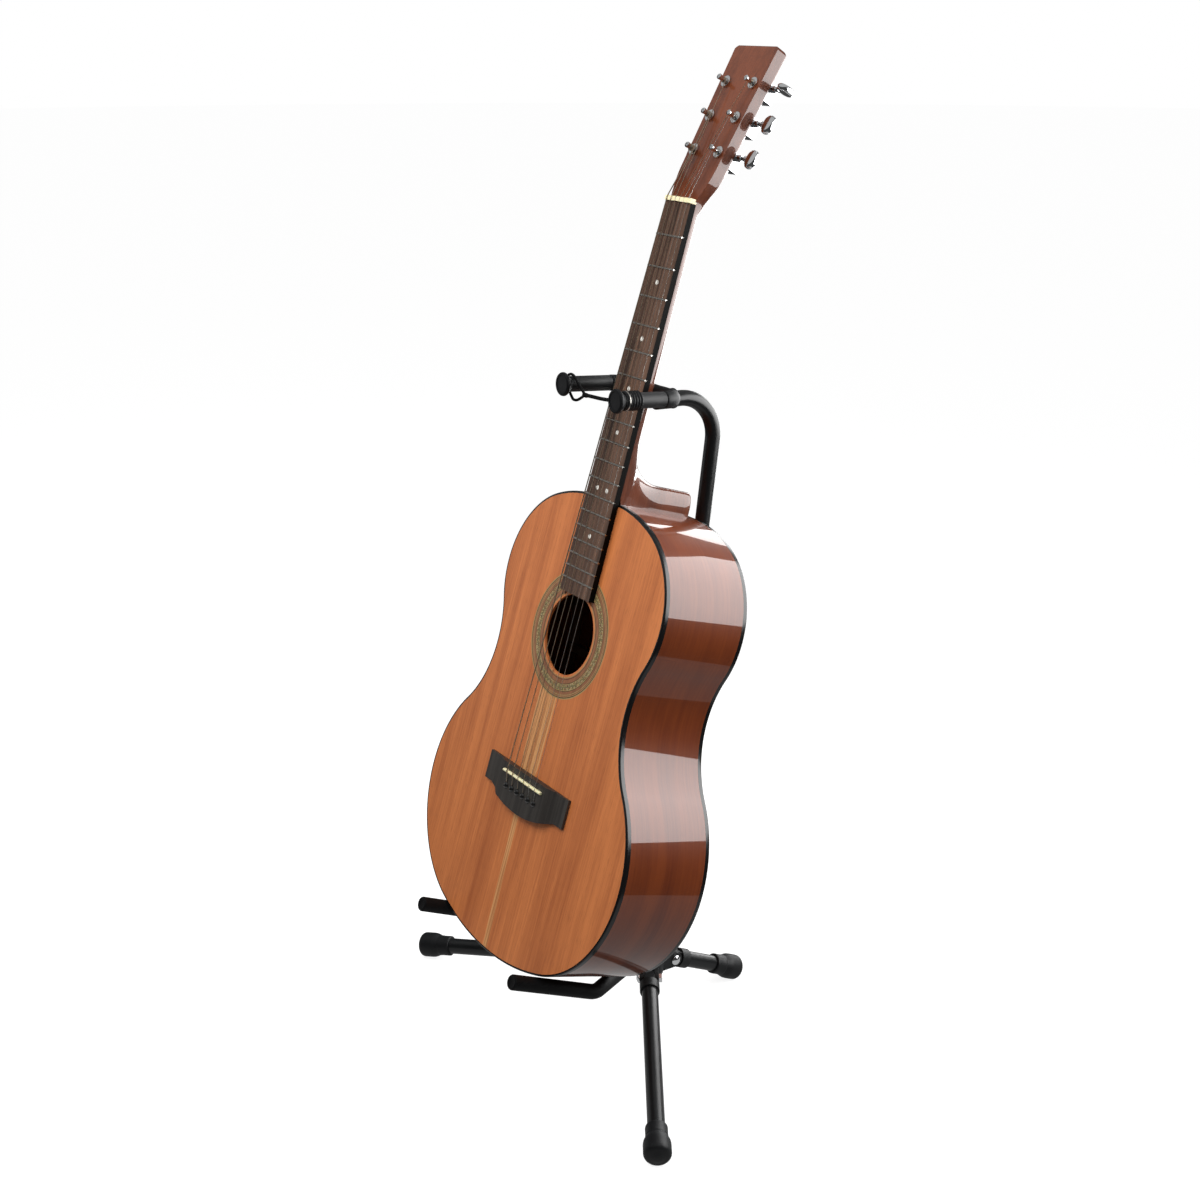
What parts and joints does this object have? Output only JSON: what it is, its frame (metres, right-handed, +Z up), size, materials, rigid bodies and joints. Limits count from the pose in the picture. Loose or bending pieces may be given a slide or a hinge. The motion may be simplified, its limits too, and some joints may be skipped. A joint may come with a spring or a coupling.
{
  "type": "guitar on stand",
  "caption": "Small-bodied steel-string acoustic guitar leaning in a folding black tripod stand with a padded cradle, a neck yoke and an elastic neck strap.",
  "frame": {"origin": "on the floor at the centre of the bounding box", "axes": "+Z up, the guitar's front faces -Y, its treble side is +X"},
  "size_m": [0.5266, 0.3862, 1.0893],
  "materials": {
    "mahogany_satin": "satin",
    "rosette_mosaic": "satin",
    "mahogany_gloss": "gloss",
    "neck_gloss": "gloss",
    "black_binding": "gloss",
    "pale_wood": "matte",
    "dark_wood": "satin",
    "rosewood": "satin",
    "bone": "satin",
    "pearl": "gloss",
    "nickel": "polished",
    "string_steel": "satin",
    "steel": "satin",
    "chrome": "polished",
    "black_tube": "semi-gloss",
    "black_plastic": "matte",
    "black_rubber": "matte",
    "foam": "matte"
  },
  "bodies": {
    "stand": {"hub": "black_plastic", "mast_lower": "black_tube", "height_clamp": "black_plastic", "leg_bolts": "chrome", "cradle_bar": "black_tube", "cradle_sleeve_left": "foam", "cradle_sleeve_right": "foam"},
    "guitar": {"soundboard": "mahogany_satin", "rosette": "rosette_mosaic", "back_plate": "mahogany_gloss", "side_bass": "mahogany_gloss", "side_treble": "mahogany_gloss", "bindings": "black_binding", "linings": "pale_wood", "neck_block": "pale_wood", "tail_block": "pale_wood", "top_braces": "pale_wood", "back_braces": "pale_wood", "bridge_plate": "pale_wood", "bridge": "dark_wood", "saddle": "bone", "bridge_pins": "black_plastic", "strings": "string_steel", "nut": "bone", "fretboard": "rosewood", "frets": "nickel", "position_dots": "pearl", "neck": "neck_gloss", "truss_rod": "steel", "tuner_housings": "chrome", "tuner_bushings": "chrome", "tuner_screws": "chrome"},
    "button_1": {"tuner_button_1": "chrome"},
    "button_2": {"tuner_button_2": "chrome"},
    "button_3": {"tuner_button_3": "chrome"},
    "button_4": {"tuner_button_4": "chrome"},
    "button_5": {"tuner_button_5": "chrome"},
    "button_6": {"tuner_button_6": "chrome"},
    "post_1": {"tuner_post_1": "chrome"},
    "post_2": {"tuner_post_2": "chrome"},
    "post_3": {"tuner_post_3": "chrome"},
    "post_4": {"tuner_post_4": "chrome"},
    "post_5": {"tuner_post_5": "chrome"},
    "post_6": {"tuner_post_6": "chrome"},
    "leg_left": {"leg_left": "black_tube", "leg_knuckle_left": "black_plastic", "foot_left": "black_rubber"},
    "leg_right": {"leg_right": "black_tube", "leg_knuckle_right": "black_plastic", "foot_right": "black_rubber"},
    "leg_rear": {"leg_rear": "black_tube", "leg_knuckle_rear": "black_plastic", "foot_rear": "black_rubber"},
    "mast_upper": {"mast_upper": "black_tube", "yoke_body": "black_rubber", "yoke_sleeve_left": "black_rubber", "yoke_sleeve_right": "black_rubber", "strap_cuff": "black_rubber", "strap": "black_rubber"},
    "clamp_knob": {"clamp_knob": "black_plastic"}
  },
  "joints": [
    {"name": "tuner_button_1_turn", "type": "hinge", "parent": "guitar", "child": "button_1", "pos_m": [0.05, 0.13703, 0.98035], "axis": [1, 0, 0], "continuous": true},
    {"name": "tuner_post_1_turn", "type": "hinge", "parent": "guitar", "child": "post_1", "pos_m": [0.021, 0.11737, 0.98654], "axis": [0, -0.8525, 0.5226], "continuous": true},
    {"name": "tuner_button_2_turn", "type": "hinge", "parent": "guitar", "child": "button_2", "pos_m": [0.05, 0.15742, 1.0136], "axis": [1, 0, 0], "continuous": true},
    {"name": "tuner_post_2_turn", "type": "hinge", "parent": "guitar", "child": "post_2", "pos_m": [0.0217, 0.13775, 1.01979], "axis": [0, -0.8525, 0.5226], "continuous": true},
    {"name": "tuner_button_3_turn", "type": "hinge", "parent": "guitar", "child": "button_3", "pos_m": [0.05, 0.1778, 1.04685], "axis": [1, 0, 0], "continuous": true},
    {"name": "tuner_post_3_turn", "type": "hinge", "parent": "guitar", "child": "post_3", "pos_m": [0.0226, 0.15814, 1.05304], "axis": [0, -0.8525, 0.5226], "continuous": true},
    {"name": "tuner_button_4_turn", "type": "hinge", "parent": "guitar", "child": "button_4", "pos_m": [-0.05, 0.13703, 0.98035], "axis": [-1, 0, 0], "continuous": true},
    {"name": "tuner_post_4_turn", "type": "hinge", "parent": "guitar", "child": "post_4", "pos_m": [-0.021, 0.11737, 0.98654], "axis": [0, -0.8525, 0.5226], "continuous": true},
    {"name": "tuner_button_5_turn", "type": "hinge", "parent": "guitar", "child": "button_5", "pos_m": [-0.05, 0.15742, 1.0136], "axis": [-1, 0, 0], "continuous": true},
    {"name": "tuner_post_5_turn", "type": "hinge", "parent": "guitar", "child": "post_5", "pos_m": [-0.0217, 0.13775, 1.01979], "axis": [0, -0.8525, 0.5226], "continuous": true},
    {"name": "tuner_button_6_turn", "type": "hinge", "parent": "guitar", "child": "button_6", "pos_m": [-0.05, 0.1778, 1.04685], "axis": [-1, 0, 0], "continuous": true},
    {"name": "tuner_post_6_turn", "type": "hinge", "parent": "guitar", "child": "post_6", "pos_m": [-0.0226, 0.15814, 1.05304], "axis": [0, -0.8525, 0.5226], "continuous": true},
    {"name": "leg_rear_fold", "type": "hinge", "parent": "stand", "child": "leg_rear", "pos_m": [0, 0.08683, 0.058], "axis": [-1, 0, 0], "range_deg": [0, 62]},
    {"name": "leg_right_fold", "type": "hinge", "parent": "stand", "child": "leg_right", "pos_m": [0.02687, 0.03745, 0.058], "axis": [0.5432, 0.8396, 0], "range_deg": [0, 78]},
    {"name": "leg_left_fold", "type": "hinge", "parent": "stand", "child": "leg_left", "pos_m": [-0.02687, 0.03745, 0.058], "axis": [0.5432, -0.8396, 0], "range_deg": [0, 78]},
    {"name": "mast_height", "type": "slide", "parent": "stand", "child": "mast_upper", "axis": [0, 0.1236, 0.9923], "range_m": [-0.06, 0.008]},
    {"name": "clamp_knob_turn", "type": "hinge", "parent": "stand", "child": "clamp_knob", "pos_m": [0, 0.0944, 0.37164], "axis": [0, 0.9923, -0.1236], "range_deg": [0, 360]},
    {"name": "guitar_lift", "type": "slide", "parent": "stand", "child": "guitar", "axis": [0, 0, 1], "range_m": [0, 0.045]}
  ],
  "couplings": [
    {"joint": "tuner_post_1_turn", "follows": "tuner_button_1_turn", "ratio": 0.055556},
    {"joint": "tuner_post_2_turn", "follows": "tuner_button_2_turn", "ratio": 0.055556},
    {"joint": "tuner_post_3_turn", "follows": "tuner_button_3_turn", "ratio": 0.055556},
    {"joint": "tuner_post_4_turn", "follows": "tuner_button_4_turn", "ratio": -0.055556},
    {"joint": "tuner_post_5_turn", "follows": "tuner_button_5_turn", "ratio": -0.055556},
    {"joint": "tuner_post_6_turn", "follows": "tuner_button_6_turn", "ratio": -0.055556}
  ]
}
